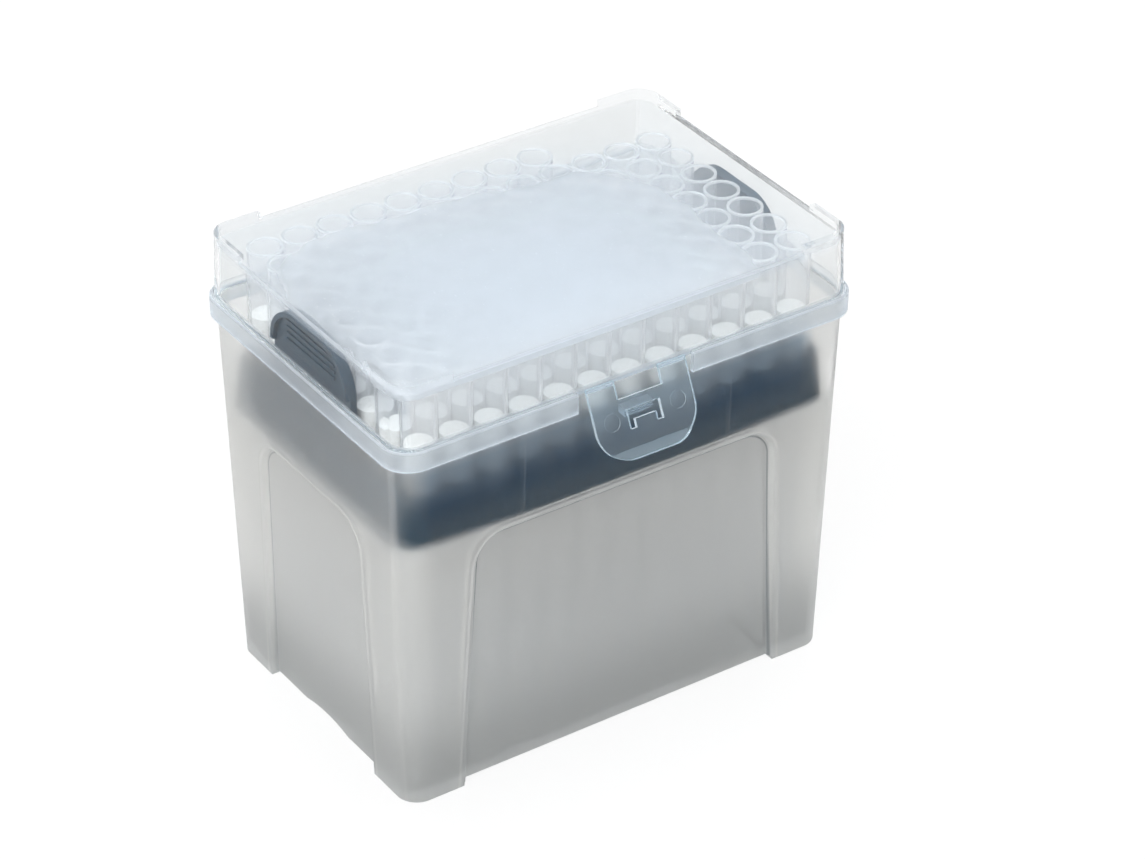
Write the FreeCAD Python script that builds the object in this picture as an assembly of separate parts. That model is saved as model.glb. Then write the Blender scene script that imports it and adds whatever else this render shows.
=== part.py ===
import FreeCAD, Part
import math
import os

# Box of pipette tips: a tall frosted base, a clear hinged lid with a latch tab, a dark rack with
# two handles, and the filter tips that hang in it. Millimetres, +Z up. X runs along the twelve
# columns, -Y is the latch side. The origin is under the middle of the whole box, on the surface.

# ---- tip pattern ----
columns = 12
rows = 8
pitch = 9.0
empty_columns = 3          # last columns whose tip in the rearmost row has been used

# ---- tip, from its rim down; each radius is at the lower end of its length ----
rim_gap = 0.6              # between the rims of neighbouring tips
collar_length = 28.5
collar_taper = 0.2
step_width = 0.35          # the step below the collar, which the tip hangs on
barrel_length = 15.5
barrel_radius = 3.35
cone_length = 23.0
cone_radius = 2.85
shank_length = 15.5
shank_radius = 2.25
nose_length = 8.5
nose_radius = 1.55
point_length = 12.0
end_radius = 0.7
tip_wall = 0.6
orifice_radius = 0.35
filter_depth = 16.9
filter_length = 5.3
filter_clearance = 0.05

# ---- base ----
rim_rise = 15.75           # top of the base's rim above the rack's plate
tip_floor_gap = 3.35       # between the tips' ends and the floor
end_lean = 2.1             # how far each short side leans out from foot to rim
side_lean = 2.8            # the same for the long sides
rim_corner = 5.4
foot_corner = 5.2
wall = 1.5
floor_thickness = 1.8
foot_height = 1.0
panel_depth = 1.5
panel_corner = 7.0
panel_draft = 0.4          # growth of the recess outline for each millimetre outward
panel_edge = 0.6           # rounding of the recess's outline on the outer face
long_panel_top = 79.0      # width of the long sides' panel at its top
long_panel_foot = 86.0
short_panel_top = 41.0
short_panel_foot = 45.0
notch_width = 18.0
notch_height = 1.1
notch_depth = 4.0

# ---- rack ----
handle_clearance = 1.2     # between the end tips' rims and the handles
side_clearance = 1.4       # between the outer rows' rims and the rack's long edges
rack_gap = 0.5             # between the rack's skirt and the base's wall
rack_draft = 0.7           # how much each side leans in towards the plate
rack_wall = 1.5
rack_corner = 6.5
rack_edge = 0.8
plate_thickness = 2.0
rack_depth = 12.15         # from the rack's foot up to the top of its plate
tip_clearance = 0.1
handle_width = 32.0
handle_height = 26.35      # above the plate
handle_corner = 10.0
handle_thickness = 1.5
flange_reach = 1.1
flange_thickness = 1.2
flange_drop = 10.2         # how far the flange runs down from the handle's top
grip_count = 4
grip_pitch = 1.6
grip_drop = 2.7            # first rib below the handle's top
grip_length = 20.0
grip_height = 0.6
grip_reach = 0.4

# ---- lid ----
skirt_gap = 0.4
skirt_wall = 1.15
skirt_height = 5.2
skirt_edge = 0.6
skirt_foot_edge = 0.25
shoulder_thickness = 1.0
lid_overhang = 0.3         # how far the lid's wall stands out past the base's rim
lid_wall = 1.3
lid_top_thickness = 1.3
tip_headroom = 1.15        # between the tips' rims and the lid's top plate
lid_draft = 0.35
lid_corner = 5.6
lid_edge = 0.8
stack_rib_height = 1.5
stack_rib_wall = 1.5
stack_rib_x = 46.0         # where the corner ribs start, from the middle
stack_rib_y = 26.0

# ---- hinge ----
hinge_station = 36.0
pin_radius = 1.5
pin_clearance = 0.05
knuckle_radius = 2.7
knuckle_width = 10.0
knuckle_gap = 0.3
ear_radius = 2.5
ear_thickness = 2.0
ear_rise = 1.0             # top of the ear's web above the pin's axis
ear_drop = 8.0
hinge_offset = 2.45        # pin axis outside the skirt's face
hinge_drop = 1.7           # pin axis below the skirt's edge
mouth_width = 2.5

# ---- latch ----
tab_side_gap = 2.15        # between the tab and each end of the gap in the skirt
tab_width = 26.1
tab_length = 17.6
tab_corner = 8.0
tab_thickness = 1.0
tab_lean = 25.0
bead_radius = 0.5
bead_gap = 0.1
strap_thickness = 0.5
strap_length = 1.2
window_width = 11.8
window_foot = 4.0
slot_width = 8.6
slot_top = 6.7
slot_bar_foot = 9.2
slot_foot = 11.2
tongue_width = 5.6
lip_start = 15.3
lip_lean = 25.0
mark_radius = 2.0
mark_place = 8.7
mark_drop = 8.4
mark_depth = 0.15
catch_reach = 2.7          # how far the catch stands out from the base's wall
catch_side_gap = 0.5
catch_clearance = 0.3
catch_groove = 0.3
catch_grooves = 2

vec = FreeCAD.Vector
x_axis = vec(1, 0, 0)
y_axis = vec(0, 1, 0)
z_axis = vec(0, 0, 1)
margin = 1.0               # overrun of a cutting tool past the face it opens

# the heights follow from the tip that hangs in the box
tip_length = collar_length + barrel_length + cone_length + shank_length + nose_length + point_length
floor_top = foot_height + floor_thickness
rim_z = floor_top + tip_floor_gap + tip_length
plate_top = rim_z - collar_length
shelf_z = plate_top - rack_depth
panel_top = shelf_z - wall
base_height = plate_top + rim_rise
handle_top = plate_top + handle_height
lid_height = rim_z + tip_headroom + lid_top_thickness

rim_radius = (pitch - rim_gap) / 2
collar_end_radius = rim_radius - collar_taper
neck_radius = collar_end_radius - step_width
latch_gap_width = tab_width + 2 * tab_side_gap
catch_width = slot_width - 2 * catch_side_gap

# the rack's plate is laid out round the tips, and the base round the rack
plate_x = (columns - 1) / 2 * pitch + rim_radius + handle_clearance + handle_thickness
plate_y = (rows - 1) / 2 * pitch + rim_radius + side_clearance
rack_x = plate_x + rack_draft
rack_y = plate_y + rack_draft
shelf_x = rack_x + rack_gap + wall
shelf_y = rack_y + rack_gap + wall
rim_length = 2 * (shelf_x + end_lean * (1 - shelf_z / base_height))
rim_depth = 2 * (shelf_y + side_lean * (1 - shelf_z / base_height))
foot_length = rim_length - 2 * end_lean
foot_depth = rim_depth - 2 * side_lean

skirt_foot = base_height + shoulder_thickness - skirt_height
skirt_top = base_height + shoulder_thickness
skirt_inner_x = rim_length / 2 + skirt_gap
skirt_inner_y = rim_depth / 2 + skirt_gap
skirt_x = skirt_inner_x + skirt_wall
skirt_y = skirt_inner_y + skirt_wall
skirt_corner = rim_corner + skirt_gap
lid_x = rim_length / 2 + lid_overhang
lid_y = rim_depth / 2 + lid_overhang
hinge_y = skirt_y + hinge_offset
hinge_z = skirt_foot - hinge_drop
latch_y = -(lid_y + bead_gap + bead_radius)
latch_z = base_height + bead_radius


def box(low, high):
    size = high - low
    return Part.makeBox(size.x, size.y, size.z, low)


def centred_box(size_x, size_y, low_z, high_z):
    return box(vec(-size_x / 2, -size_y / 2, low_z), vec(size_x / 2, size_y / 2, high_z))


def rounded_outline(points, radii):
    """Closed wire through points, with each corner rounded by its radius (0 leaves it sharp)."""
    count = len(points)
    starts = []
    ends = []
    mids = []
    for index in range(count):
        corner = points[index]
        before = points[index - 1] - corner
        after = points[(index + 1) % count] - corner
        before.normalize()
        after.normalize()
        half_angle = before.getAngle(after) / 2
        radius = radii[index]
        reach = radius / math.tan(half_angle)
        bisector = before + after
        bisector.normalize()
        centre = corner + bisector * (radius / math.sin(half_angle))
        starts.append(corner + before * reach)
        ends.append(corner + after * reach)
        mids.append(centre - bisector * radius)
    edges = []
    for index in range(count):
        if radii[index] > 0:
            edges.append(Part.Arc(starts[index], mids[index], ends[index]).toShape())
        edges.append(Part.makeLine(ends[index], starts[(index + 1) % count]))
    return Part.Wire(edges)


def rounded_rectangle(half_x, half_y, corner, z):
    points = [vec(-half_x, -half_y, z), vec(half_x, -half_y, z)]
    points += [vec(half_x, half_y, z), vec(-half_x, half_y, z)]
    return rounded_outline(points, [corner] * 4)


def loft(wires):
    return Part.makeLoft(wires, True, True)


def prism(wire, direction):
    return Part.Face(wire).extrude(direction)


def on_both_ends(shape):
    """The shape and its copy turned half round the vertical axis."""
    other = shape.copy()
    other.rotate(vec(0, 0, 0), z_axis, 180)
    return [shape, other]


# ---- base ----
def base_half(z):
    """Half length, half depth and corner radius of the base's outer face at a height."""
    share = z / base_height
    half_x = (foot_length + (rim_length - foot_length) * share) / 2
    half_y = (foot_depth + (rim_depth - foot_depth) * share) / 2
    corner = foot_corner + (rim_corner - foot_corner) * share
    return half_x, half_y, corner


def base_loft(inset, low_z, high_z):
    wires = []
    for z in (low_z, high_z):
        half_x, half_y, corner = base_half(z)
        wires.append(rounded_rectangle(half_x - inset, half_y - inset, corner - inset, z))
    return loft(wires)


def arch(top_width, foot_width, grow, y):
    """Arch-topped outline in a plane of constant y, wider by grow on every side."""
    half_top = top_width / 2 + grow
    half_foot = foot_width / 2 + grow
    top = panel_top + grow
    corner = panel_corner + grow
    low = -margin
    points = [vec(-half_foot, y, low), vec(-half_top, y, top)]
    points += [vec(half_top, y, top), vec(half_foot, y, low)]
    return rounded_outline(points, [0, corner, corner, 0])


def panel_tools(grow_out, grow_in, outset, inset):
    """Tools on all four sides, reaching from outset outside the base's face to inset inside it."""
    half_x, half_y, corner = base_half(panel_top)
    long_side = loft([
        arch(long_panel_top, long_panel_foot, grow_out, -half_y - outset),
        arch(long_panel_top, long_panel_foot, grow_in, -half_y + inset)])
    short_side = loft([
        arch(short_panel_top, short_panel_foot, grow_out, -half_x - outset),
        arch(short_panel_top, short_panel_foot, grow_in, -half_x + inset)])
    short_side.rotate(vec(0, 0, 0), z_axis, -90)
    return on_both_ends(long_side) + on_both_ends(short_side)


def is_panel_edge(edge):
    """Whether an edge follows a recess's outline on the base's outer face."""
    first = edge.FirstParameter
    span = edge.LastParameter - first
    if edge.BoundBox.ZMax > panel_top + margin or edge.valueAt(first + span / 2).z < margin:
        return False
    for share in (0.1, 0.5, 0.9):
        point = edge.valueAt(first + span * share)
        half_x, half_y, corner = base_half(point.z)
        on_long_side = abs(abs(point.y) - half_y) < margin / 50 and abs(point.x) < half_x - corner
        on_short_side = abs(abs(point.x) - half_x) < margin / 50 and abs(point.y) < half_y - corner
        if not on_long_side and not on_short_side:
            return False
    return True


def base_body():
    reach = 2 * panel_depth + wall
    recesses = panel_tools(
        (panel_depth + reach) * panel_draft, (panel_depth - reach) * panel_draft, reach, reach)
    bulges = panel_tools(wall, wall, reach, reach + wall)
    outside = base_loft(0, 0, base_height).cut(recesses).fuse(base_loft(panel_depth, 0, base_height))
    outside = outside.makeFillet(panel_edge, [edge for edge in outside.Edges if is_panel_edge(edge)])
    cavity = base_loft(wall, floor_top, base_height + margin).cut(bulges)
    cavity = cavity.fuse(base_loft(wall + panel_depth, floor_top, base_height + margin))
    return outside.cut(cavity)


def foot_cuts():
    """The underside between the four corner feet, and the finger notch in each short side."""
    across = centred_box(long_panel_foot, 2 * foot_depth, -margin, foot_height)
    along = centred_box(2 * foot_length, short_panel_foot, -margin, foot_height)
    rise_radius = (notch_width ** 2 / 4 + notch_height ** 2) / (2 * notch_height)
    start_x = foot_length / 2 - panel_depth - notch_depth
    centre_z = foot_height + notch_height - rise_radius
    notch = Part.makeCylinder(rise_radius, notch_depth + margin, vec(start_x, 0, centre_z), x_axis)
    slab = box(vec(start_x - margin, -notch_width, -margin), vec(foot_length, notch_width, floor_top))
    return [across, along] + on_both_ends(notch.common(slab))


def hinge_ears():
    """Two ears with a pin between them at each hinge station."""
    shapes = []
    wall_y = base_half(hinge_z - ear_drop)[1] - wall / 2
    ear_points = [
        vec(0, wall_y, hinge_z + ear_rise), vec(0, hinge_y, hinge_z + ear_rise),
        vec(0, hinge_y + ear_rise, hinge_z - ear_rise), vec(0, wall_y, hinge_z - ear_drop)]
    web = prism(rounded_outline(ear_points, [0] * 4), x_axis * ear_thickness)
    head = Part.makeCylinder(ear_radius, ear_thickness, vec(0, hinge_y, hinge_z), x_axis)
    ear = web.fuse(head)
    clear_half = knuckle_width / 2 + knuckle_gap
    for station in (-hinge_station, hinge_station):
        for start in (station - clear_half - ear_thickness, station + clear_half):
            placed = ear.copy()
            placed.translate(vec(start, 0, 0))
            shapes.append(placed)
        start = station - clear_half - ear_thickness / 2
        length = 2 * clear_half + ear_thickness
        shapes.append(Part.makeCylinder(pin_radius, length, vec(start, hinge_y, hinge_z), x_axis))
    return shapes


def catch_nose():
    """Grooved block on the front wall that the tab's tongue hooks under when the tab is pressed in."""
    high = latch_z - slot_top - catch_clearance
    low = latch_z - slot_bar_foot + catch_clearance
    face_y = -base_half(high)[1]
    nose = box(
        vec(-catch_width / 2, face_y - catch_reach, low), vec(catch_width / 2, face_y + wall / 2, high))
    spacing = (high - low) / (catch_grooves + 1)
    for index in range(catch_grooves):
        z = low + spacing * (index + 1)
        groove = box(
            vec(-catch_width, face_y - catch_reach - margin, z - catch_groove / 2),
            vec(catch_width, face_y - catch_reach + catch_groove, z + catch_groove / 2))
        nose = nose.cut(groove)
    return nose


def box_base():
    body = base_body().cut(foot_cuts())
    return body.fuse(hinge_ears() + [catch_nose()])


# ---- rack ----
def handle_wire(grow, x):
    half = handle_width / 2 + grow
    top = handle_top + grow
    low = plate_top - plate_thickness / 2
    points = [vec(x, -half, low), vec(x, half, low), vec(x, half, top), vec(x, -half, top)]
    corner = handle_corner + grow
    return rounded_outline(points, [0, 0, corner, corner])


def handle():
    """End handle with an outward flange round its arch and level grip ribs."""
    blade = prism(handle_wire(0, plate_x - handle_thickness), x_axis * handle_thickness)
    flange = prism(handle_wire(0, plate_x), x_axis * flange_reach)
    flange = flange.cut(prism(handle_wire(-flange_thickness, plate_x), x_axis * flange_reach))
    above = box(
        vec(plate_x, -handle_width, handle_top - flange_drop),
        vec(plate_x + flange_reach, handle_width, handle_top + margin))
    shapes = [flange.common(above)]
    for index in range(grip_count):
        z = handle_top - grip_drop - grip_pitch * index
        shapes.append(box(
            vec(plate_x - grip_reach, -grip_length / 2, z - grip_height),
            vec(plate_x + grip_reach, grip_length / 2, z)))
    return blade.fuse(shapes)


def tip_places():
    """Every position as (column, row, x, y), both counted from 0."""
    places = []
    for column in range(columns):
        for row in range(rows):
            x = (column - (columns - 1) / 2) * pitch
            y = (row - (rows - 1) / 2) * pitch
            places.append((column, row, x, y))
    return places


def tip_rack():
    outside = loft([
        rounded_rectangle(rack_x, rack_y, rack_corner, shelf_z),
        rounded_rectangle(plate_x, plate_y, rack_corner, plate_top)])
    top_edges = [edge for edge in outside.Edges if edge.BoundBox.ZMin > plate_top - margin / 10]
    outside = outside.makeFillet(rack_edge, top_edges)
    inner_corner = rack_corner - rack_wall
    ceiling = plate_top - plate_thickness
    inside = loft([
        rounded_rectangle(rack_x - rack_wall, rack_y - rack_wall, inner_corner, shelf_z - margin),
        rounded_rectangle(plate_x - rack_wall, plate_y - rack_wall, inner_corner, ceiling)])
    body = outside.cut(inside)
    hole_radius = neck_radius + tip_clearance
    holes = []
    for column, row, x, y in tip_places():
        start = vec(x, y, plate_top - plate_thickness - margin)
        holes.append(Part.makeCylinder(hole_radius, plate_thickness + 2 * margin, start))
    return body.cut(holes).fuse(on_both_ends(handle()))


# ---- tips and filters ----
def tip_profile():
    """Outer radius of the tip at each depth below its rim, from the top down."""
    profile = [(0, rim_radius), (collar_length, collar_end_radius), (collar_length, neck_radius)]
    depth = collar_length
    for length, radius in (
            (barrel_length, barrel_radius), (cone_length, cone_radius), (shank_length, shank_radius),
            (nose_length, nose_radius), (point_length, end_radius)):
        depth += length
        profile.append((depth, radius))
    return profile


def bore_radius(depth):
    """Radius of the tip's bore inside the collar, which tapers evenly down to the neck."""
    top = rim_radius - tip_wall
    foot = neck_radius - tip_wall
    return top + (foot - top) * (depth / collar_length) ** 2


def revolved(points):
    """Solid turned round the vertical axis from (depth, radius) points below the tips' rim."""
    corners = [vec(radius, 0, rim_z - depth) for depth, radius in points]
    wire = Part.makePolygon(corners + [corners[0]])
    return Part.Face(wire).revolve(vec(0, 0, 0), z_axis, 360)


def pipette_tip():
    outer = tip_profile()
    filter_end = filter_depth + filter_length
    inner = [(depth, bore_radius(depth)) for depth in (0, filter_depth, filter_end, collar_length)]
    for depth, radius in outer[3:-1]:
        inner.append((depth, radius - tip_wall))
    inner.append((tip_length, orifice_radius))
    return revolved(outer + inner[::-1])


def filter_plug():
    filter_end = filter_depth + filter_length
    return revolved([
        (filter_depth, 0), (filter_depth, bore_radius(filter_depth) - filter_clearance),
        (filter_end, bore_radius(filter_end) - filter_clearance), (filter_end, 0)])


def column_of(shape, wanted):
    """Copies of the shape at every place of one column that holds a tip."""
    solids = []
    for column, row, x, y in tip_places():
        is_empty = row == rows - 1 and column >= columns - empty_columns
        if column == wanted and not is_empty:
            placed = shape.copy()
            placed.translate(vec(x, y, 0))
            solids.append(placed)
    return Part.makeCompound(solids)


# ---- lid ----
def lid_shell():
    """Walls and top plate, tapering up from the shoulder."""
    outside = loft([
        rounded_rectangle(lid_x, lid_y, lid_corner, base_height),
        rounded_rectangle(lid_x - lid_draft, lid_y - lid_draft, lid_corner, lid_height)])
    top_edges = [edge for edge in outside.Edges if edge.BoundBox.ZMin > lid_height - margin / 10]
    return outside.makeFillet(lid_edge, top_edges)


def lid_hollow():
    top = lid_height - lid_top_thickness
    share = (top - base_height) / (lid_height - base_height)
    inset = lid_wall + lid_draft * share
    corner = lid_corner - lid_wall
    return loft([
        rounded_rectangle(lid_x - lid_wall, lid_y - lid_wall, corner, base_height),
        rounded_rectangle(lid_x - inset, lid_y - inset, corner, top)])


def lid_skirt():
    outside = loft([
        rounded_rectangle(skirt_x, skirt_y, skirt_corner + skirt_wall, skirt_foot),
        rounded_rectangle(skirt_x, skirt_y, skirt_corner + skirt_wall, skirt_top)])
    top_edges = [edge for edge in outside.Edges if edge.BoundBox.ZMin > skirt_top - margin / 10]
    foot_edges = [edge for edge in outside.Edges if edge.BoundBox.ZMax < skirt_foot + margin / 10]
    outside = outside.makeFillet(skirt_edge, top_edges).makeFillet(skirt_foot_edge, foot_edges)
    inside = prism(
        rounded_rectangle(skirt_inner_x, skirt_inner_y, skirt_corner, skirt_foot - margin),
        z_axis * (base_height - skirt_foot + margin))
    gap = box(
        vec(-latch_gap_width / 2, -skirt_y - margin, skirt_foot - margin),
        vec(latch_gap_width / 2, -lid_y, skirt_top + margin))
    return outside.cut([inside, gap])


def stacking_ribs():
    """Four corner ribs along the top edge, which locate a box stacked above."""
    half_x = lid_x - lid_draft
    half_y = lid_y - lid_draft
    start = lid_height - lid_top_thickness
    top = lid_height + stack_rib_height
    ring = prism(rounded_rectangle(half_x, half_y, lid_corner, start), z_axis * (top - start))
    inner_corner = lid_corner - stack_rib_wall
    hole = prism(
        rounded_rectangle(half_x - stack_rib_wall, half_y - stack_rib_wall, inner_corner, start - margin),
        z_axis * (top - start + 2 * margin))
    return ring.cut([
        hole,
        centred_box(2 * stack_rib_x, 4 * lid_y, start - margin, top + margin),
        centred_box(4 * lid_x, 2 * stack_rib_y, start - margin, top + margin)])


def hinge_knuckles():
    """C-shaped knuckles under the rear skirt that snap over the base's pins."""
    shapes = []
    bore = pin_radius + pin_clearance
    for station in (-hinge_station, hinge_station):
        start = vec(station - knuckle_width / 2, hinge_y, hinge_z)
        ring = Part.makeCylinder(knuckle_radius, knuckle_width, start, x_axis)
        arm = box(
            vec(start.x, skirt_inner_y, hinge_z + hinge_drop / 3),
            vec(start.x + knuckle_width, hinge_y - bore / 2, skirt_foot + skirt_wall))
        mouth = Part.makeBox(
            knuckle_width + 2 * margin, 2 * knuckle_radius, mouth_width,
            vec(start.x - margin, hinge_y, hinge_z - mouth_width / 2))
        mouth.rotate(vec(0, hinge_y, hinge_z), x_axis, -45)
        eye = Part.makeCylinder(
            bore, knuckle_width + 2 * margin, vec(start.x - margin, hinge_y, hinge_z), x_axis)
        shapes.append(ring.fuse(arm).cut([mouth, eye]))
    return shapes


def lid():
    body = lid_shell().fuse([lid_skirt(), stacking_ribs()])
    return body.cut(lid_hollow()).fuse(hinge_knuckles())


# ---- latch tab ----
def tab_outline():
    """Outline of the tab in its own plane: x across, depth below the hinge line along -z."""
    half = tab_width / 2
    points = [vec(-half, 0, -strap_length / 2), vec(half, 0, -strap_length / 2)]
    points += [vec(half, 0, -tab_length), vec(-half, 0, -tab_length)]
    wire = rounded_outline(points, [0, 0, tab_corner, tab_corner])
    wire.translate(vec(0, -tab_length, 0))
    return prism(wire, y_axis * 2 * tab_length)


def tab_section():
    """Side profile of the tab, leaning its lip outward, swept across the tab's width."""
    half = tab_thickness / 2
    lip = tab_length
    kick = lip * math.tan(math.radians(lip_lean))
    points = [
        vec(0, -half, -strap_length / 2), vec(0, half, -strap_length / 2),
        vec(0, half, -lip_start), vec(0, half - kick, -lip_start - lip),
        vec(0, -half - kick, -lip_start - lip), vec(0, -half, -lip_start)]
    section = prism(rounded_outline(points, [0] * 6), x_axis * tab_width)
    section.translate(vec(-tab_width / 2, 0, 0))
    return section


def latch_tab():
    """Tab hanging from two thin straps, with a window between them and a slot round its tongue."""
    plate = tab_section().common(tab_outline())
    straps = box(
        vec(-tab_width / 2, -strap_thickness / 2, -strap_length),
        vec(tab_width / 2, strap_thickness / 2, 0))
    bead = Part.makeCylinder(bead_radius, tab_width, vec(-tab_width / 2, 0, 0), x_axis)
    body = plate.fuse([straps, bead])
    depth = tab_length
    window = box(
        vec(-window_width / 2, -depth, -window_foot), vec(window_width / 2, depth, margin))
    slot = box(vec(-slot_width / 2, -depth, -slot_foot), vec(slot_width / 2, depth, -slot_top))
    tongue = box(
        vec(-tongue_width / 2, -2 * depth, -slot_foot - margin),
        vec(tongue_width / 2, 2 * depth, -slot_bar_foot))
    cuts = [window, slot.cut(tongue)]
    for side in (-1, 1):
        mark_start = vec(side * mark_place, -tab_thickness / 2 - margin, -mark_drop)
        cuts.append(Part.makeCylinder(mark_radius, margin + mark_depth, mark_start, y_axis))
    body = body.cut(cuts)
    body.rotate(vec(0, 0, 0), x_axis, -tab_lean)
    body.translate(vec(0, latch_y, latch_z))
    return body


# ---- the whole box ----
def build():
    """All nodes by name, moved so that the origin is under the middle of the whole box."""
    nodes = {
        "box_base": box_base(),
        "lid": lid(),
        "latch_tab": latch_tab(),
        "tip_rack": tip_rack()}
    tip = pipette_tip()
    plug = filter_plug()
    for column in range(columns):
        number = "%02d" % (column + 1)
        nodes["tips_column_" + number] = column_of(tip, column)
        nodes["filters_column_" + number] = column_of(plug, column)
    front = nodes["latch_tab"].BoundBox.YMin
    back = hinge_y + knuckle_radius
    shift = -(front + back) / 2
    for shape in nodes.values():
        shape.translate(vec(0, shift, 0))
    return nodes, shift


nodes, depth_shift = build()
os.makedirs("parts", exist_ok=True)
for name, shape in nodes.items():
    shape.exportStep("parts/" + name + ".step")
    print(name, len(shape.Solids), "solids, valid", shape.isValid(), "volume", round(shape.Volume), "mm3")
print("shift along Y", round(depth_shift, 4))
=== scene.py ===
import bpy, math
from mathutils import Matrix, Vector


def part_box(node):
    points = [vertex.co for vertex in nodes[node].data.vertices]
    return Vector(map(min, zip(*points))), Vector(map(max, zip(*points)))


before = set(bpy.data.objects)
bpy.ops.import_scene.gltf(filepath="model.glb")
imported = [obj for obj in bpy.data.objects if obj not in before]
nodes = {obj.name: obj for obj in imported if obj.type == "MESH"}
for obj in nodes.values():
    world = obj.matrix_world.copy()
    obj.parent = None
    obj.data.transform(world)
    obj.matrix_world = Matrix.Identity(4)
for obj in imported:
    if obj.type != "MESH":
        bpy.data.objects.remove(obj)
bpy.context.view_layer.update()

scene = bpy.context.scene
mm = 0.001
print("frame loaded:", len(nodes), "nodes")


def linearColour(hexCode):
    # sRGB hex to the linear values that the shaders work in, by the sRGB curve
    channels = [int(hexCode[i:i + 2], 16) / 255 for i in (1, 3, 5)]
    linear = [c / 12.92 if c <= 0.04045 else ((c + 0.055) / 1.055) ** 2.4 for c in channels]
    return (*linear, 1)


def addNode(tree, kind, inputs=None, **settings):
    # one node, its settings, and its inputs as values or as links from other nodes' sockets
    node = tree.nodes.new(kind)
    for name, value in settings.items():
        setattr(node, name, value)
    for socket, value in (inputs or {}).items():
        if isinstance(value, bpy.types.NodeSocket):
            tree.links.new(value, node.inputs[socket])
        else:
            node.inputs[socket].default_value = value
    return node


def newMaterial(name):
    # an empty material, its tree, and the place of each point in the part's own metres
    material = bpy.data.materials.new(name)
    material.use_nodes = True
    material.node_tree.nodes.clear()
    place = addNode(material.node_tree, "ShaderNodeTexCoord").outputs["Object"]
    return material, material.node_tree, place


def dress(names, material, shader):
    addNode(material.node_tree, "ShaderNodeOutputMaterial", {"Surface": shader})
    for name in names:
        for slot in nodes[name].material_slots:
            slot.link = "OBJECT"
            slot.material = material


def mouldGrain(tree, place, look):
    # the skin that a mould leaves, fine where its steel is eroded and a slow wave where it is
    # polished, as a noise and the bump made from it
    grain = addNode(tree, "ShaderNodeTexNoise", {
        "Vector": place, "Scale": 1 / (look["grainMm"] * mm), "Detail": 3.0, "Roughness": 0.6})
    bump = addNode(tree, "ShaderNodeBump", {
        "Height": grain.outputs["Fac"], "Strength": 1.0, "Distance": look["grainDepthMm"] * mm})
    return grain.outputs["Fac"], bump.outputs["Normal"]


def flowStreaks(tree, place, look):
    # long soft streaks up the wall, where the melt ran in from the gate
    perWidth = 1 / (look["streakWidthMm"] * mm)
    perLength = 1 / (look["streakLengthMm"] * mm)
    stretched = addNode(tree, "ShaderNodeMapping", {
        "Vector": place, "Scale": (perWidth, perWidth, perLength)})
    streaks = addNode(tree, "ShaderNodeTexNoise", {
        "Vector": stretched.outputs[0], "Scale": 1.0, "Detail": 2.0})
    return streaks.outputs["Fac"]


def fineLine(tree, value, centreMm, halfWidthMm, strength=1.0, blend="LINEAR"):
    # full strength where the value is at the centre, falling to nothing half a width away
    away = addNode(tree, "ShaderNodeMath", {0: value, 1: centreMm * mm}, operation="SUBTRACT")
    away = addNode(tree, "ShaderNodeMath", {0: away.outputs[0]}, operation="ABSOLUTE")
    return addNode(tree, "ShaderNodeMapRange", {
        "Value": away.outputs[0], "From Max": halfWidthMm * mm, "To Min": strength, "To Max": 0.0},
        interpolation_type=blend).outputs["Result"]


def plasticBody(tree, look, haze, roughness, normal, colour=None, milkColour=None):
    # clear plastic mixed with a milky share that scatters light through it
    gloss = look["gloss"]
    glass = addNode(tree, "ShaderNodeBsdfPrincipled", {
        "Base Color": colour or linearColour(look["colour"]), "IOR": look["ior"], "Roughness": roughness,
        "Transmission Weight": 1.0, "Specular Tint": (gloss, gloss, gloss, 1), "Normal": normal})
    milkColour = milkColour or linearColour(look["milk"])
    milk = addNode(tree, "ShaderNodeBsdfTranslucent", {"Color": milkColour, "Normal": normal})
    face = addNode(tree, "ShaderNodeBsdfDiffuse", {"Color": milkColour, "Normal": normal})
    scatter = addNode(tree, "ShaderNodeMixShader", {
        0: look["faceShare"], 1: milk.outputs[0], 2: face.outputs[0]})
    body = addNode(tree, "ShaderNodeMixShader", {0: haze, 1: glass.outputs[0], 2: scatter.outputs[0]})
    # the lamps' shadow rays pass with a tint, so the inside is lit
    path = addNode(tree, "ShaderNodeLightPath")
    passed = addNode(tree, "ShaderNodeBsdfTransparent", {"Color": linearColour(look["shade"])})
    return addNode(tree, "ShaderNodeMixShader", {
        0: path.outputs["Is Shadow Ray"], 1: body.outputs[0], 2: passed.outputs[0]}).outputs[0]


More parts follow.
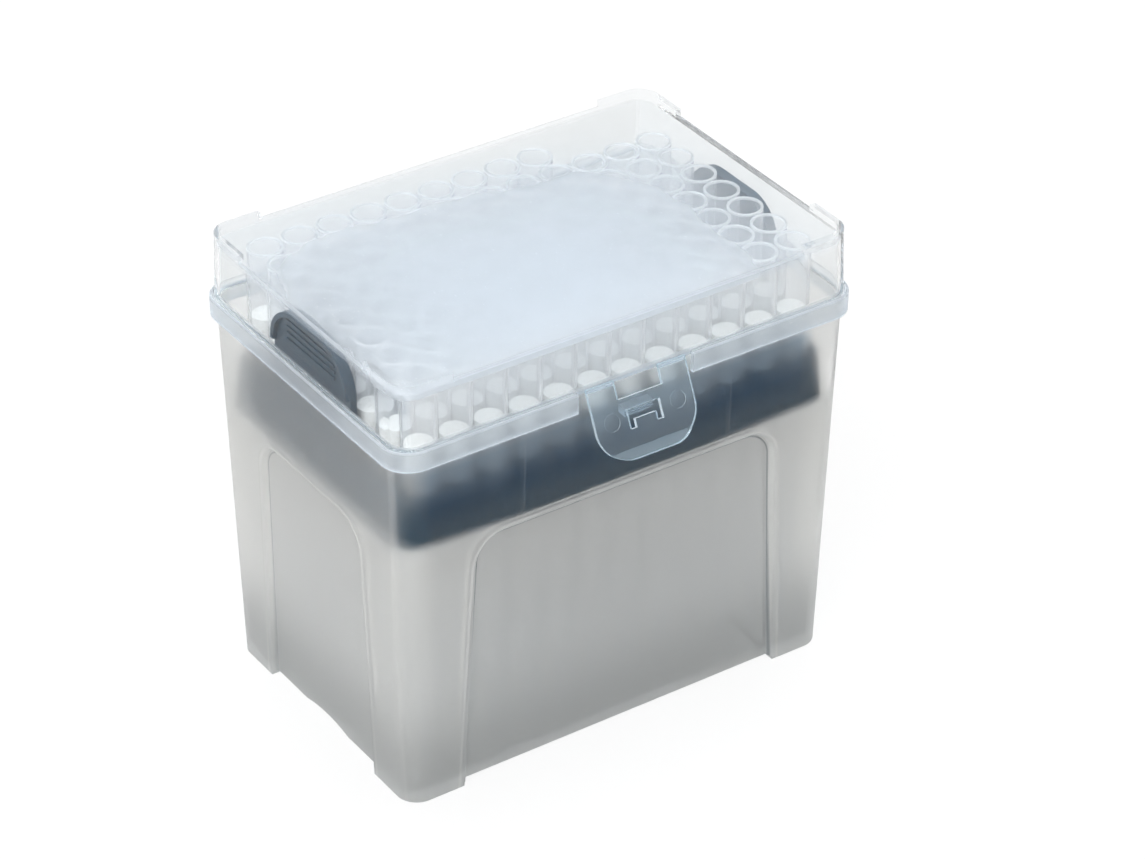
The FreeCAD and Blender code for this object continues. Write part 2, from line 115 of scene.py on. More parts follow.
# base: natural polypropylene, injection moulded against an eroded steel face. The face frosts it evenly,
# so what touches the wall inside shows as a soft shape, and what stands further in turns to a blur. The
# real grain, about 0.1 mm, is too fine to show, so it is drawn at 0.35 mm
base = {
    "colour": "#F5F5F4", "footShadeColour": "#B9BBBC", "footShadeFadeMm": (2, 34),
    "ior": 1.2, "gloss": 0.3, "milk": "#EDEDEB", "faceShare": 0.4, "shade": "#EFF1F2",
    "haze": (0.28, 0.58), "hazeRiseMm": (14, 66),
    "roughness": (0.28, 0.42), "roughRiseMm": (70, 80), "endRoughness": 0.41,
    "bandHaze": (0.005, 0.14), "bandTopMm": (77, 91), "bandCloudMm": 12.0,
    "endBandHaze": (0.07, 0.0), "endBandTopHaze": 0.02, "endRearMm": (20, 38), "endRearHaze": 0.45,
    "bandShadeColour": "#BACFE0", "bandShadeMm": (72, 80, 89, 92),
    "bandShadeEndMm": (-57, -52, 46, 50), "bandShadeSlantMm": (-80, -50),
    "bandFootMm": (68.8, 70.6), "footRiseMm": (20, 54), "bandEdgeMm": (1.6, 6.0),
    "frontDepthMm": 1.0, "endStartMm": 54.5, "endHalfMm": 35.2, "endFadeMm": 3.2,
    "cornerHighlightMm": 0.5, "cornerHighlightHaze": 0.14,
    "panelTopMm": 67.0, "panelCornerMm": 7.0,
    "sidePanelHalfMm": (43.0, 39.5), "endPanelHalfMm": (22.5, 20.5), "brimHighlightMm": (1.4, 0.6), "brimHighlightHaze": 0.4,
    "grooveShadeMm": (-0.5, 0.35), "grooveShadeShare": 0.6, "grooveShadeColour": "#5E656B",
    "grainMm": 0.35, "grainDepthMm": 0.003, "grainShare": 0.12, "tipShadeStripeShare": 0.035,
    "streakWidthMm": 7.0, "streakLengthMm": 120, "streakShare": 0.14,
    "gateLinesMm": (-28.0, 27.0), "gateLineWidthMm": 0.22, "gateLineHaze": (0.06, 0.14),
    "specksMm": ((-58.6, 32.8, 26.4), (-59.1, 20.5, 60.8)), "speckMm": 0.32, "speckColour": "#30343A",
}
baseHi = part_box("box_base")[1]
rackLo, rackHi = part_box("tip_rack")
middleY = (rackLo[1] + rackHi[1]) / 2
frosted, tree, place = newMaterial("frostedPolypropylene")
grain, grainNormal = mouldGrain(tree, place, base)
streaks = flowStreaks(tree, place, base)
spot = addNode(tree, "ShaderNodeSeparateXYZ", {0: place})
aside = addNode(tree, "ShaderNodeMath", {0: spot.outputs["X"]}, operation="ABSOLUTE")
along = addNode(tree, "ShaderNodeMath", {0: spot.outputs["Y"], 1: middleY}, operation="SUBTRACT")
along = addNode(tree, "ShaderNodeMath", {0: along.outputs[0]}, operation="ABSOLUTE")

# the end walls stand off the rack, so its dark skirt shows through them only as a soft shade, a little
# clearer towards the rear and then lost at the rear corner
outOnEnd = addNode(tree, "ShaderNodeMath", {
    0: aside.outputs[0], 1: base["endStartMm"] * mm}, operation="GREATER_THAN")
forward = addNode(tree, "ShaderNodeMath", {0: middleY, 1: spot.outputs["Y"]}, operation="SUBTRACT")
onEnd = addNode(tree, "ShaderNodeMapRange", {
    "Value": forward.outputs[0], "From Min": base["endHalfMm"] * mm,
    "From Max": (base["endHalfMm"] + base["endFadeMm"]) * mm, "To Min": 1.0, "To Max": 0.0})
onEnd = addNode(tree, "ShaderNodeMath", {
    0: outOnEnd.outputs[0], 1: onEnd.outputs["Result"]}, operation="MULTIPLY")
endBandHaze = addNode(tree, "ShaderNodeMapRange", {
    "Value": spot.outputs["Y"], "From Min": rackLo[1], "From Max": rackHi[1],
    "To Min": base["endBandHaze"][0], "To Max": base["endBandHaze"][1]})
endBandTop = addNode(tree, "ShaderNodeMapRange", {
    "Value": spot.outputs["Z"], "From Min": base["bandFootMm"][0] * mm,
    "From Max": base["bandTopMm"][1] * mm, "To Max": base["endBandTopHaze"]})
endBandHaze = addNode(tree, "ShaderNodeMath", {
    0: endBandHaze.outputs["Result"], 1: endBandTop.outputs["Result"]}, operation="ADD", use_clamp=True)
rear = addNode(tree, "ShaderNodeMapRange", {
    "Value": spot.outputs["Y"], "From Min": base["endRearMm"][0] * mm, "From Max": base["endRearMm"][1] * mm,
    "To Max": base["endRearHaze"]}, interpolation_type="SMOOTHSTEP")
endBandHaze = addNode(tree, "ShaderNodeMath", {
    0: endBandHaze.outputs[0], 1: rear.outputs["Result"]}, operation="ADD")

# the clear band where the rack's skirt stands close behind the long walls, with a cloudy upper edge
noiseMiddle = 0.5
clouds = addNode(tree, "ShaderNodeMath", {0: streaks, 1: noiseMiddle}, operation="SUBTRACT")
cloudy = addNode(tree, "ShaderNodeMath", {
    0: clouds.outputs[0], 1: base["bandCloudMm"] * mm, 2: spot.outputs["Z"]}, operation="MULTIPLY_ADD")
bandHaze = addNode(tree, "ShaderNodeMapRange", {
    "Value": cloudy.outputs[0], "From Min": base["bandTopMm"][0] * mm, "From Max": base["bandTopMm"][1] * mm,
    "To Min": base["bandHaze"][0], "To Max": base["bandHaze"][1]}, interpolation_type="SMOOTHSTEP")
bandHaze = addNode(tree, "ShaderNodeMapRange", {
    "Value": onEnd.outputs[0], "To Min": bandHaze.outputs["Result"], "To Max": endBandHaze.outputs[0]})
wallHaze = addNode(tree, "ShaderNodeMapRange", {
    "Value": spot.outputs["Z"], "From Min": base["hazeRiseMm"][0] * mm,
    "From Max": base["hazeRiseMm"][1] * mm, "To Min": base["haze"][0], "To Max": base["haze"][1]})
frontRough = addNode(tree, "ShaderNodeMapRange", {
    "Value": spot.outputs["Z"], "From Min": base["roughRiseMm"][0] * mm,
    "From Max": base["roughRiseMm"][1] * mm, "To Min": base["roughness"][0], "To Max": base["roughness"][1]})
roughness = addNode(tree, "ShaderNodeMapRange", {
    "Value": onEnd.outputs[0], "To Min": frontRough.outputs["Result"], "To Max": base["endRoughness"]})

# the band's foot is crisp on the long walls and soft on the ends, and stands higher at the corners
edge = addNode(tree, "ShaderNodeMapRange", {
    "Value": onEnd.outputs[0], "To Min": base["bandEdgeMm"][0] * mm, "To Max": base["bandEdgeMm"][1] * mm})
bandFoot = addNode(tree, "ShaderNodeMapRange", {
    "Value": aside.outputs[0], "From Min": base["footRiseMm"][0] * mm,
    "From Max": base["footRiseMm"][1] * mm, "To Min": base["bandFootMm"][0] * mm,
    "To Max": base["bandFootMm"][1] * mm})
edgeLow = addNode(tree, "ShaderNodeMath", {
    0: bandFoot.outputs["Result"], 1: edge.outputs["Result"]}, operation="SUBTRACT")
edgeHigh = addNode(tree, "ShaderNodeMath", {
    0: bandFoot.outputs["Result"], 1: edge.outputs["Result"]}, operation="ADD")
haze = addNode(tree, "ShaderNodeMapRange", {
    "Value": spot.outputs["Z"], "From Min": edgeLow.outputs[0], "From Max": edgeHigh.outputs[0],
    "To Min": wallHaze.outputs["Result"], "To Max": bandHaze.outputs["Result"]},
    interpolation_type="SMOOTHSTEP")

# the wall is uneven with grain and flow streaks, and carries faint painted shade stripes at the pitch of the
# tips behind it
unevenAndTipShade = addNode(tree, "ShaderNodeMath", {
    0: grain, 1: base["grainShare"], 2: 1 - (base["grainShare"] + base["streakShare"]) / 2},
    operation="MULTIPLY_ADD")
unevenAndTipShade = addNode(tree, "ShaderNodeMath", {
    0: streaks, 1: base["streakShare"], 2: unevenAndTipShade.outputs[0]}, operation="MULTIPLY_ADD")
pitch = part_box("tips_column_02")[0][0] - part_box("tips_column_01")[0][0]
tipShadeStripes = addNode(tree, "ShaderNodeMath", {
    0: spot.outputs["X"], 1: 2 * math.pi / pitch}, operation="MULTIPLY")
tipShadeStripes = addNode(tree, "ShaderNodeMath", {0: tipShadeStripes.outputs[0]}, operation="COSINE")
unevenAndTipShade = addNode(tree, "ShaderNodeMath", {
    0: tipShadeStripes.outputs[0], 1: base["tipShadeStripeShare"], 2: unevenAndTipShade.outputs[0]}, operation="MULTIPLY_ADD")
haze = addNode(tree, "ShaderNodeMath", {
    0: haze.outputs["Result"], 1: unevenAndTipShade.outputs[0]}, operation="MULTIPLY")

# each panel's outline: a painted highlight line on its rounded brim and a painted shade line in the step
# inside it, both drawn from the distance to the arch, which is wider at its foot
across = addNode(tree, "ShaderNodeMapRange", {
    "Value": outOnEnd.outputs[0], "To Min": aside.outputs[0], "To Max": along.outputs[0]})
half = {}
for side in ("sidePanelHalfMm", "endPanelHalfMm"):
    footMm, topMm = base[side]
    half[side] = addNode(tree, "ShaderNodeMapRange", {
        "Value": spot.outputs["Z"], "From Max": base["panelTopMm"] * mm,
        "To Min": (footMm - base["panelCornerMm"]) * mm, "To Max": (topMm - base["panelCornerMm"]) * mm})
halfWidth = addNode(tree, "ShaderNodeMapRange", {
    "Value": outOnEnd.outputs[0], "To Min": half["sidePanelHalfMm"].outputs["Result"],
    "To Max": half["endPanelHalfMm"].outputs["Result"]})
beside = addNode(tree, "ShaderNodeMath", {
    0: across.outputs["Result"], 1: halfWidth.outputs["Result"]}, operation="SUBTRACT")
beside = addNode(tree, "ShaderNodeMath", {0: beside.outputs[0], 1: 0}, operation="MAXIMUM")
above = addNode(tree, "ShaderNodeMath", {
    0: spot.outputs["Z"], 1: (base["panelTopMm"] - base["panelCornerMm"]) * mm}, operation="SUBTRACT")
above = addNode(tree, "ShaderNodeMath", {0: above.outputs[0], 1: 0}, operation="MAXIMUM")
outside = addNode(tree, "ShaderNodeCombineXYZ", {"X": beside.outputs[0], "Y": above.outputs[0]})
outside = addNode(tree, "ShaderNodeVectorMath", {0: outside.outputs[0]}, operation="LENGTH")
outline = {}
for name in ("brimHighlightMm", "grooveShadeMm"):
    offsetMm, halfWidthMm = base[name]
    outline[name] = fineLine(
        tree, outside.outputs["Value"], base["panelCornerMm"] + offsetMm, halfWidthMm, blend="SMOOTHSTEP")
haze = addNode(tree, "ShaderNodeMath", {
    0: outline["brimHighlightMm"], 1: base["brimHighlightHaze"], 2: haze.outputs[0]}, operation="MULTIPLY_ADD")
grooveShadeFade = addNode(tree, "ShaderNodeMapRange", {
    "Value": spot.outputs["Y"], "From Min": middleY, "From Max": middleY + base["endHalfMm"] * mm,
    "To Min": base["grooveShadeShare"], "To Max": 0.0})
grooveShade = addNode(tree, "ShaderNodeMath", {
    0: outline["grooveShadeMm"], 1: grooveShadeFade.outputs["Result"]}, operation="MULTIPLY")

# fine weld lines down the front wall, and a painted highlight line where each end wall turns into its corner
onFront = addNode(tree, "ShaderNodeMath", {
    0: spot.outputs["Y"], 1: rackLo[1] + base["frontDepthMm"] * mm}, operation="LESS_THAN")
inBand = addNode(tree, "ShaderNodeMath", {
    0: spot.outputs["Z"], 1: base["bandFootMm"][0] * mm}, operation="GREATER_THAN")
lineHaze = addNode(tree, "ShaderNodeMapRange", {
    "Value": inBand.outputs[0], "To Min": base["gateLineHaze"][0], "To Max": base["gateLineHaze"][1]})
lineHaze = addNode(tree, "ShaderNodeMath", {
    0: lineHaze.outputs["Result"], 1: onFront.outputs[0]}, operation="MULTIPLY")
for gateLineMm in base["gateLinesMm"]:
    line = fineLine(tree, spot.outputs["X"], gateLineMm, base["gateLineWidthMm"])
    haze = addNode(tree, "ShaderNodeMath", {
        0: line, 1: lineHaze.outputs[0], 2: haze.outputs[0]}, operation="MULTIPLY_ADD")
line = fineLine(tree, along.outputs[0], base["endHalfMm"], base["cornerHighlightMm"], base["cornerHighlightHaze"])
haze = addNode(tree, "ShaderNodeMath", {
    0: line, 1: outOnEnd.outputs[0], 2: haze.outputs[0]}, operation="MULTIPLY_ADD")

# painted shade: the body colour is made greyer towards the foot, standing in for the lesser light that gets
# in there
colour = addNode(tree, "ShaderNodeMapRange", {
    "Value": spot.outputs["Z"], "From Min": base["footShadeFadeMm"][0] * mm,
    "From Max": base["footShadeFadeMm"][1] * mm}, interpolation_type="SMOOTHSTEP")
colour = addNode(tree, "ShaderNodeMixRGB", {
    0: colour.outputs["Result"], 1: linearColour(base["footShadeColour"]), 2: linearColour(base["colour"])})

# painted shade: a cool, darker tint in the clear band of the long walls, fading out before the corners
low, lowFull, highFull, high = [height * mm for height in base["bandShadeMm"]]
rising = addNode(tree, "ShaderNodeMapRange", {
    "Value": spot.outputs["Z"], "From Min": low, "From Max": lowFull})
falling = addNode(tree, "ShaderNodeMapRange", {
    "Value": spot.outputs["Z"], "From Min": high, "From Max": highFull})
bandShade = addNode(tree, "ShaderNodeMath", {
    0: rising.outputs["Result"], 1: falling.outputs["Result"]}, operation="MULTIPLY")
farLeft, nearLeft, nearRight, farRight = [x * mm for x in base["bandShadeEndMm"]]
bandShade = addNode(tree, "ShaderNodeMapRange", {
    "Value": spot.outputs["X"], "From Min": farLeft, "From Max": nearLeft, "To Max": bandShade.outputs[0]})
aslant = addNode(tree, "ShaderNodeMath", {
    0: spot.outputs["X"], 1: spot.outputs["Y"]}, operation="SUBTRACT")
bandShade = addNode(tree, "ShaderNodeMapRange", {
    "Value": aslant.outputs[0], "From Min": base["bandShadeSlantMm"][0] * mm,
    "From Max": base["bandShadeSlantMm"][1] * mm, "To Max": bandShade.outputs["Result"]})
bandShade = addNode(tree, "ShaderNodeMapRange", {
    "Value": spot.outputs["X"], "From Min": nearRight, "From Max": farRight,
    "To Min": bandShade.outputs["Result"], "To Max": 0.0})
bandShade = addNode(tree, "ShaderNodeMapRange", {
    "Value": onEnd.outputs[0], "To Min": bandShade.outputs["Result"], "To Max": 0.0})
colour = addNode(tree, "ShaderNodeMixRGB", {
    0: bandShade.outputs["Result"], 1: colour.outputs[0], 2: linearColour(base["bandShadeColour"])})

shader = plasticBody(
    tree, base, haze.outputs[0], roughness.outputs["Result"], grainNormal, colour.outputs[0])
# the painted shade line in each panel's step, mixed in as a dark matt share
dark = addNode(tree, "ShaderNodeBsdfDiffuse", {"Color": linearColour(base["grooveShadeColour"])})
shader = addNode(tree, "ShaderNodeMixShader", {
    0: grooveShade.outputs[0], 1: shader, 2: dark.outputs[0]}).outputs[0]
for centreMm in base["specksMm"]:  # specks of burnt resin caught in the wall
    away = addNode(tree, "ShaderNodeVectorMath", {
        0: place, 1: [c * mm for c in centreMm]}, operation="DISTANCE")
    speck = addNode(tree, "ShaderNodeMath", {
        0: away.outputs["Value"], 1: base["speckMm"] * mm}, operation="LESS_THAN")
    dark = addNode(tree, "ShaderNodeBsdfDiffuse", {"Color": linearColour(base["speckColour"])})
    shader = addNode(tree, "ShaderNodeMixShader", {
        0: speck.outputs[0], 1: shader, 2: dark.outputs[0]}).outputs[0]
dress(["box_base"], frosted, shader)

# lid: clarified polypropylene off a polished mould, glossy and clear with a faint grey body. Its top
# carries a soft white bloom in the middle and fine scuffs from the boxes stacked on it
lid = {
    "colour": "#FBFCFC", "wallColour": "#F7F9FA", "ior": 1.12,
    "roughness": 0.08, "wallRoughness": 0.08, "skirtRoughness": 0.26, "gloss": 1.0,
    "milk": "#DFE5EB", "wallMilk": "#F3F1EE", "faceShare": 0.4, "shade": "#F0F3F5",
    "topDepthMm": 3.5, "haze": (0.2, 0.08), "hazeFadeMm": (-48, 30),
    "endWallMm": 4.5, "wallHaze": 0.22, "endHaze": (0.02, 0.1),
    "skirtRiseMm": 1.0, "skirtHaze": 0.32, "footDropMm": 4.2, "footHighlightMm": 0.45, "footHighlightHaze": 0.5,
    "edgeHighlightHaze": 0.45, "edgeHighlightTilt": (0.12, 0.35, 0.9, 0.98),
    "bloomCentreMm": (-7.5, -19), "bloomReachMm": (44, 40), "bloomPower": 0.25, "bloomFade": (0.25, 1.7),
    "bloomHaze": 0.76, "bloomCloudMm": 14.0, "bloomCloudShare": 0.3,
    "grainMm": 9.0, "grainDepthMm": 0.02, "streakWidthMm": 0.5, "streakLengthMm": 30,
    "scuffDegrees": 62, "scuffFade": (0.68, 0.78), "scuffHaze": 0.08,
}
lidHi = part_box("lid")[1]
clarified, tree, place = newMaterial("clarifiedPolypropylene")
grainNormal = mouldGrain(tree, place, lid)[1]
spot = addNode(tree, "ShaderNodeSeparateXYZ", {0: place})

# the bloom is a rounded rectangle with cloudy edges, fading into the top's own thin veil
centre = lid["bloomCentreMm"]
reach = lid["bloomReachMm"]
spread = addNode(tree, "ShaderNodeMapping", {
    "Vector": place, "Location": (-centre[0] / reach[0], -centre[1] / reach[1], 0),
    "Scale": (1 / (reach[0] * mm), 1 / (reach[1] * mm), 0)})
square = addNode(tree, "ShaderNodeVectorMath", {
    0: spread.outputs[0], 1: spread.outputs[0]}, operation="MULTIPLY")
far = addNode(tree, "ShaderNodeVectorMath", {
    0: square.outputs[0], 1: square.outputs[0]}, operation="DOT_PRODUCT")
far = addNode(tree, "ShaderNodeMath", {0: far.outputs["Value"], 1: lid["bloomPower"]}, operation="POWER")
clouds = addNode(tree, "ShaderNodeTexNoise", {
    "Vector": place, "Scale": 1 / (lid["bloomCloudMm"] * mm), "Detail": 4.0})
far = addNode(tree, "ShaderNodeMath", {
    0: clouds.outputs["Fac"], 1: lid["bloomCloudShare"], 2: far.outputs[0]}, operation="MULTIPLY_ADD")
veil = addNode(tree, "ShaderNodeMapRange", {
    "Value": spot.outputs["X"], "From Min": lid["hazeFadeMm"][0] * mm, "From Max": lid["hazeFadeMm"][1] * mm,
    "To Min": lid["haze"][0], "To Max": lid["haze"][1]}, interpolation_type="SMOOTHSTEP")
bloom = addNode(tree, "ShaderNodeMapRange", {
    "Value": far.outputs[0], "From Min": lid["bloomFade"][0], "From Max": lid["bloomFade"][1],
    "To Min": lid["bloomHaze"], "To Max": veil.outputs["Result"]}, interpolation_type="SMOOTHSTEP")

# the end walls are clearer than the long ones. The skirt is thicker and milkier than both, and a fine
# painted highlight line runs along its foot edge
aside = addNode(tree, "ShaderNodeMath", {0: spot.outputs["X"]}, operation="ABSOLUTE")
onEnd = addNode(tree, "ShaderNodeMath", {
    0: aside.outputs[0], 1: lidHi[0] - lid["endWallMm"] * mm}, operation="GREATER_THAN")
endHaze = addNode(tree, "ShaderNodeMapRange", {
    "Value": spot.outputs["X"], "From Min": -lidHi[0], "From Max": lidHi[0],
    "To Min": lid["endHaze"][0], "To Max": lid["endHaze"][1]})
haze = addNode(tree, "ShaderNodeMapRange", {
    "Value": onEnd.outputs[0], "To Min": lid["wallHaze"], "To Max": endHaze.outputs["Result"]})
onSkirt = addNode(tree, "ShaderNodeMath", {
    0: spot.outputs["Z"], 1: baseHi[2] + lid["skirtRiseMm"] * mm}, operation="LESS_THAN")
haze = addNode(tree, "ShaderNodeMapRange", {
    "Value": onSkirt.outputs[0], "To Min": haze.outputs["Result"], "To Max": lid["skirtHaze"]})
roughness = addNode(tree, "ShaderNodeMapRange", {
    "Value": onSkirt.outputs[0], "To Min": lid["wallRoughness"], "To Max": lid["skirtRoughness"]})
onTop = addNode(tree, "ShaderNodeMath", {
    0: spot.outputs["Z"], 1: lidHi[2] - lid["topDepthMm"] * mm}, operation="GREATER_THAN")
haze = addNode(tree, "ShaderNodeMapRange", {
    "Value": onTop.outputs[0], "To Min": haze.outputs["Result"], "To Max": bloom.outputs["Result"]})
roughness = addNode(tree, "ShaderNodeMapRange", {
    "Value": onTop.outputs[0], "To Min": roughness.outputs["Result"], "To Max": lid["roughness"]})
skirtFootHighlight = addNode(tree, "ShaderNodeMath", {
    0: spot.outputs["Z"], 1: baseHi[2] - lid["footDropMm"] * mm, 2: lid["footHighlightMm"] * mm},
    operation="COMPARE")
haze = addNode(tree, "ShaderNodeMath", {
    0: skirtFootHighlight.outputs[0], 1: lid["footHighlightHaze"], 2: haze.outputs["Result"]}, operation="MULTIPLY_ADD")

# painted highlight: rounded edges, where the face is neither level nor upright, are drawn whiter than the
# flats
tilt = addNode(tree, "ShaderNodeSeparateXYZ", {0: addNode(tree, "ShaderNodeTexCoord").outputs["Normal"]})
tilt = addNode(tree, "ShaderNodeMath", {0: tilt.outputs["Z"]}, operation="ABSOLUTE")
low, lowFull, highFull, high = lid["edgeHighlightTilt"]
rising = addNode(tree, "ShaderNodeMapRange", {
    "Value": tilt.outputs[0], "From Min": low, "From Max": lowFull})
falling = addNode(tree, "ShaderNodeMapRange", {
    "Value": tilt.outputs[0], "From Min": high, "From Max": highFull})
edge = addNode(tree, "ShaderNodeMath", {
    0: rising.outputs["Result"], 1: falling.outputs["Result"]}, operation="MULTIPLY")
haze = addNode(tree, "ShaderNodeMath", {
    0: edge.outputs[0], 1: lid["edgeHighlightHaze"], 2: haze.outputs[0]}, operation="MULTIPLY_ADD")

# scuffs are the crests of a noise drawn out along a slanted direction
slanted = addNode(tree, "ShaderNodeVectorRotate", {
    "Vector": place, "Angle": math.radians(lid["scuffDegrees"])}, rotation_type="X_AXIS")
scuffs = addNode(tree, "ShaderNodeMapRange", {
    "Value": flowStreaks(tree, slanted.outputs[0], lid), "From Min": lid["scuffFade"][0],
    "From Max": lid["scuffFade"][1], "To Max": lid["scuffHaze"]})
haze = addNode(tree, "ShaderNodeMath", {0: haze.outputs[0], 1: scuffs.outputs["Result"]}, operation="ADD")
colour = addNode(tree, "ShaderNodeMixRGB", {
    0: onTop.outputs[0], 1: linearColour(lid["wallColour"]), 2: linearColour(lid["colour"])})
offWall = addNode(tree, "ShaderNodeMath", {0: onTop.outputs[0], 1: onSkirt.outputs[0]}, operation="MAXIMUM")
milkColour = addNode(tree, "ShaderNodeMixRGB", {
    0: offWall.outputs[0], 1: linearColour(lid["wallMilk"]), 2: linearColour(lid["milk"])})
dress(["lid"], clarified, plasticBody(
    tree, lid, haze.outputs[0], roughness.outputs["Result"], grainNormal, colour.outputs[0],
    milkColour.outputs[0]))

# latch tab: the same clarified polypropylene, thin enough to be nearly water clear, with a painted highlight
# in its edges
tab = {
    "colour": "#F2F7FA", "roughness": 0.06, "ior": 1.3, "gloss": 1.0,
    "milk": "#CFE2EE", "faceShare": 0.4, "shade": "#F0F3F5",
    "haze": 0.07, "edgeHighlightHaze": 0.6, "edgeHighlightFacing": (0.8, 0.2),
    "grainMm": 5.0, "grainDepthMm": 0.015,
}
clearTab, tree, place = newMaterial("clarifiedThinPolypropylene")
grainNormal = mouldGrain(tree, place, tab)[1]
facing = addNode(tree, "ShaderNodeSeparateXYZ", {0: addNode(tree, "ShaderNodeTexCoord").outputs["Normal"]})
facing = addNode(tree, "ShaderNodeMath", {0: facing.outputs["Y"]}, operation="ABSOLUTE")
haze = addNode(tree, "ShaderNodeMapRange", {
    "Value": facing.outputs[0], "From Min": tab["edgeHighlightFacing"][0], "From Max": tab["edgeHighlightFacing"][1],
    "To Min": tab["haze"], "To Max": tab["edgeHighlightHaze"]})
dress(["latch_tab"], clearTab, plasticBody(
    tree, tab, haze.outputs["Result"], tab["roughness"], grainNormal))

# rack: polypropylene coloured through in dark slate, moulded with a satin face that gives soft, broad
# highlights. The real grain, about 0.1 mm, is too fine to show, so it is drawn at 0.4 mm
rack = {
    "colour": "#0E2A3B", "paleColour": "#143446", "roughness": (0.36, 0.48), "ior": 1.49,
    "grainMm": 0.4, "grainDepthMm": 0.008, "streakWidthMm": 3.0, "streakLengthMm": 14,
}
slate, tree, place = newMaterial("slatePolypropylene")
grain, grainNormal = mouldGrain(tree, place, rack)
streaks = flowStreaks(tree, place, rack)
colour = addNode(tree, "ShaderNodeMixRGB", {
    0: streaks, 1: linearColour(rack["colour"]), 2: linearColour(rack["paleColour"])})
roughness = addNode(tree, "ShaderNodeMapRange", {
    "Value": grain, "To Min": rack["roughness"][0], "To Max": rack["roughness"][1]})
shader = addNode(tree, "ShaderNodeBsdfPrincipled", {
    "Base Color": colour.outputs[0], "Roughness": roughness.outputs["Result"], "IOR": rack["ior"],
    "Normal": grainNormal})
dress(["tip_rack"], slate, shader.outputs["BSDF"])

# tips: unfilled polypropylene with a polished bore, clear with a trace of milk and a whiter rim
tips = {
    "colour": "#FDFDFE", "roughness": 0.07, "ior": 1.15, "gloss": 1.0,
    "milk": "#F3F5F7", "faceShare": 0.3, "haze": 0.14, "shade": "#F8FAFB", "rimMm": 0.5, "rimHaze": 0.45,
    "grainMm": 1.6, "grainDepthMm": 0.006, "streakWidthMm": 0.8, "streakLengthMm": 26, "streakHaze": 0.06,
}
natural, tree, place = newMaterial("naturalPolypropylene")
grainNormal = mouldGrain(tree, place, tips)[1]
streaks = flowStreaks(tree, place, tips)
haze = addNode(tree, "ShaderNodeMath", {
    0: streaks, 1: tips["streakHaze"], 2: tips["haze"]}, operation="MULTIPLY_ADD")
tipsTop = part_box("tips_column_01")[1][2]
height = addNode(tree, "ShaderNodeSeparateXYZ", {0: place}).outputs["Z"]
onRim = addNode(tree, "ShaderNodeMath", {
    0: height, 1: tipsTop - tips["rimMm"] * mm}, operation="GREATER_THAN")
haze = addNode(tree, "ShaderNodeMath", {
    0: onRim.outputs[0], 1: tips["rimHaze"], 2: haze.outputs[0]}, operation="MULTIPLY_ADD")
shader = plasticBody(tree, tips, haze.outputs[0], tips["roughness"], grainNormal)
dress([name for name in nodes if name.startswith("tips_")], natural, shader)

# filters: beads of polyethylene sintered into a plug, chalk white and full of pores. Real beads, 0.1 to
# 0.2 mm, are too fine to show, so they are drawn at 0.45 mm
filters = {
    "colour": "#F4F2EE", "poreShadeColour": "#D3CFC8", "poreShadeFade": (0.35, 0.9), "roughness": 0.9,
    "beadMm": 0.45, "beadDepthMm": 0.08,
}
sintered, tree, place = newMaterial("sinteredPolyethylene")
beads = addNode(tree, "ShaderNodeTexVoronoi", {"Vector": place, "Scale": 1 / (filters["beadMm"] * mm)})
# painted shade: the gaps between the beads are drawn darker
poreShade = addNode(tree, "ShaderNodeMapRange", {
    "Value": beads.outputs["Distance"], "From Min": filters["poreShadeFade"][0],
    "From Max": filters["poreShadeFade"][1]})
colour = addNode(tree, "ShaderNodeMixRGB", {
    0: poreShade.outputs["Result"], 1: linearColour(filters["colour"]), 2: linearColour(filters["poreShadeColour"])})
bump = addNode(tree, "ShaderNodeBump", {
    "Height": beads.outputs["Distance"], "Distance": filters["beadDepthMm"] * mm}, invert=True)
shader = addNode(tree, "ShaderNodeBsdfPrincipled", {
    "Base Color": colour.outputs[0], "Roughness": filters["roughness"], "Normal": bump.outputs["Normal"]})
dress([name for name in nodes if name.startswith("filters_")], sintered, shader.outputs["BSDF"])
print("materials made")


def seenDirectly(tree):
    # 1 where the eye, a reflection or clear plastic looks, 0 where light bounces
    path = addNode(tree, "ShaderNodeLightPath")
    seen = addNode(tree, "ShaderNodeMath", {
        0: path.outputs["Is Camera Ray"], 1: path.outputs["Is Glossy Ray"]}, operation="MAXIMUM")
    return addNode(tree, "ShaderNodeMath", {
        0: seen.outputs[0], 1: path.outputs["Is Transmission Ray"]}, operation="MAXIMUM").outputs[0]


# floor: a wide sheet of pale matt paper just under the feet, mostly pure white where it is looked at
ground = {"halfM": 3.0, "dropMm": 0.1, "grey": 0.9, "whiteShare": 0.8}
corners = [(-1, -1), (1, -1), (1, 1), (-1, 1)]
floorMesh = bpy.data.meshes.new("floor")
floorMesh.from_pydata(
    [(x * ground["halfM"], y * ground["halfM"], -ground["dropMm"] * mm) for x, y in corners],
    [], [(0, 1, 2, 3)])
floor = bpy.data.objects.new("floor", floorMesh)
scene.collection.objects.link(floor)
paper, tree, place = newMaterial("paleFloor")
share = addNode(tree, "ShaderNodeMath", {
    0: seenDirectly(tree), 1: ground["whiteShare"]}, operation="MULTIPLY")
matt = addNode(tree, "ShaderNodeBsdfDiffuse", {"Color": (ground["grey"], ground["grey"], ground["grey"], 1)})
white = addNode(tree, "ShaderNodeEmission", {"Strength": 1.0})
mix = addNode(tree, "ShaderNodeMixShader", {0: share.outputs[0], 1: matt.outputs[0], 2: white.outputs[0]})
addNode(tree, "ShaderNodeOutputMaterial", {"Surface": mix.outputs[0]})
floorMesh.materials.append(paper)

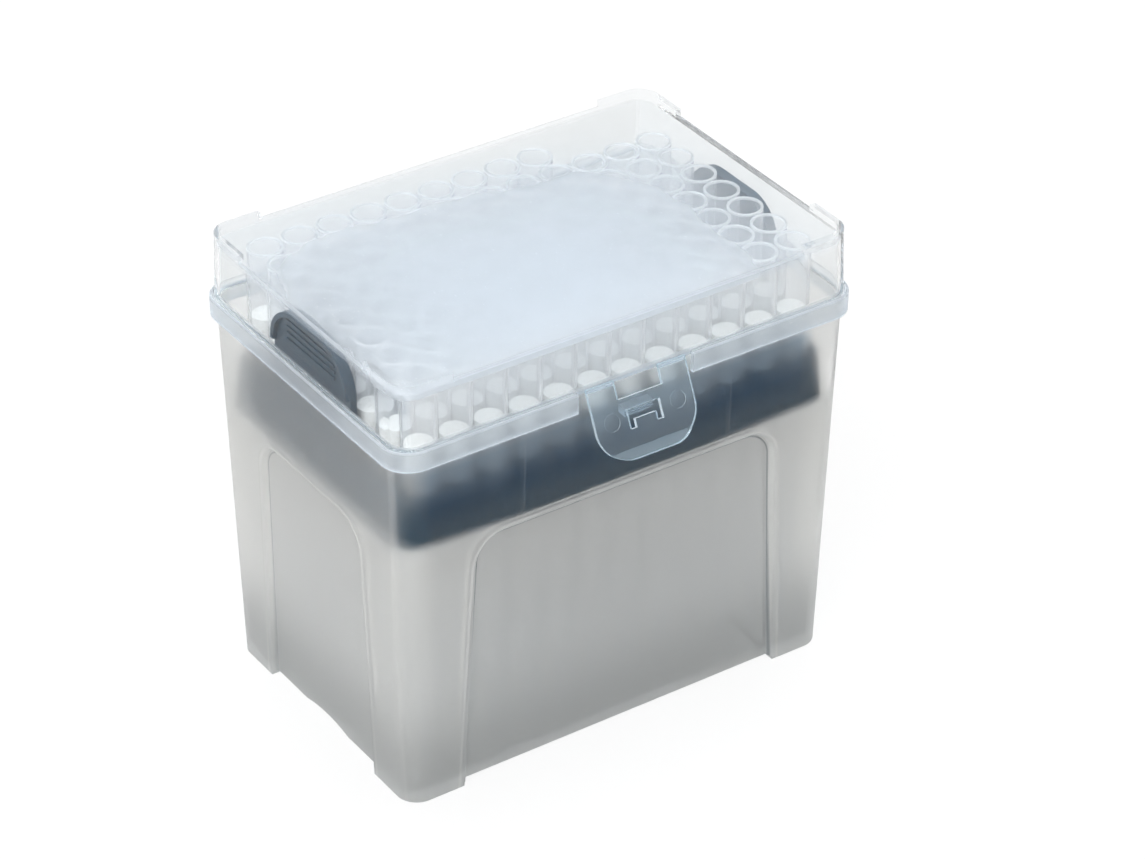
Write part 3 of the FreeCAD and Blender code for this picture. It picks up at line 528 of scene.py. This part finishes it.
# world: plain white where it is looked at, and a little dimmer as a light
studio = {"light": 0.7, "white": 1.0}
world = bpy.data.worlds.new("studio")
scene.world = world
world.use_nodes = True
tree = world.node_tree
tree.nodes.clear()
level = addNode(tree, "ShaderNodeMapRange", {
    "Value": seenDirectly(tree), "To Min": studio["light"], "To Max": studio["white"]})
back = addNode(tree, "ShaderNodeBackground", {"Color": (1, 1, 1, 1), "Strength": level.outputs["Result"]})
addNode(tree, "ShaderNodeOutputWorld", {"Surface": back.outputs[0]})

# two broad soft lamps, the key from the front left and the other from above
lamps = [
    {"name": "keyLamp", "fromM": (-0.9, -0.5, 1.1), "sizeM": 0.9, "watts": 12},
    {"name": "topLamp", "fromM": (0.2, 0.3, 1.5), "sizeM": 1.0, "watts": 9},
]
lampAim = Vector((0, 0, 0.06))
for settings in lamps:
    lampData = bpy.data.lights.new(settings["name"], "AREA")
    lampData.shape = "SQUARE"
    lampData.size = settings["sizeM"]
    lampData.energy = settings["watts"]
    lamp = bpy.data.objects.new(settings["name"], lampData)
    lamp.location = settings["fromM"]
    lamp.rotation_mode = "QUATERNION"
    lamp.rotation_quaternion = (lampAim - lamp.location).to_track_quat("-Z", "Y")
    scene.collection.objects.link(lamp)

# camera: a long lens from the front left, looking down, with its angles in degrees
camera = {
    "azimuth": -34.22, "elevation": 33.38, "roll": -0.2, "distanceMm": 962.6,
    "targetMm": (8.45, -3.40, 59.4), "lensMm": 132.1, "sensorMm": 36,
}
cameraData = bpy.data.cameras.new("camera")
cameraData.lens = camera["lensMm"]
cameraData.sensor_width = camera["sensorMm"]
eye = bpy.data.objects.new("camera", cameraData)
turn = math.radians(camera["azimuth"])
rise = math.radians(camera["elevation"])
right = Vector((math.cos(turn), math.sin(turn), 0))
backward = Vector((math.sin(turn) * math.cos(rise), -math.cos(turn) * math.cos(rise), math.sin(rise)))
up = backward.cross(right)
axes = Matrix((right, up, backward)).transposed() @ Matrix.Rotation(math.radians(-camera["roll"]), 3, "Z")
eyePlace = (Vector(camera["targetMm"]) + backward * camera["distanceMm"]) * mm
eye.matrix_world = Matrix.Translation(eyePlace) @ axes.to_4x4()
scene.collection.objects.link(eye)
bpy.context.scene.camera = eye

# light passes many thin clear walls on its way, so the bounces are raised
scene.view_settings.view_transform = "Standard"
scene.cycles.max_bounces = 40
scene.cycles.transmission_bounces = 40
scene.cycles.diffuse_bounces = 8
scene.cycles.glossy_bounces = 8
scene.cycles.transparent_max_bounces = 60
print("stage set")
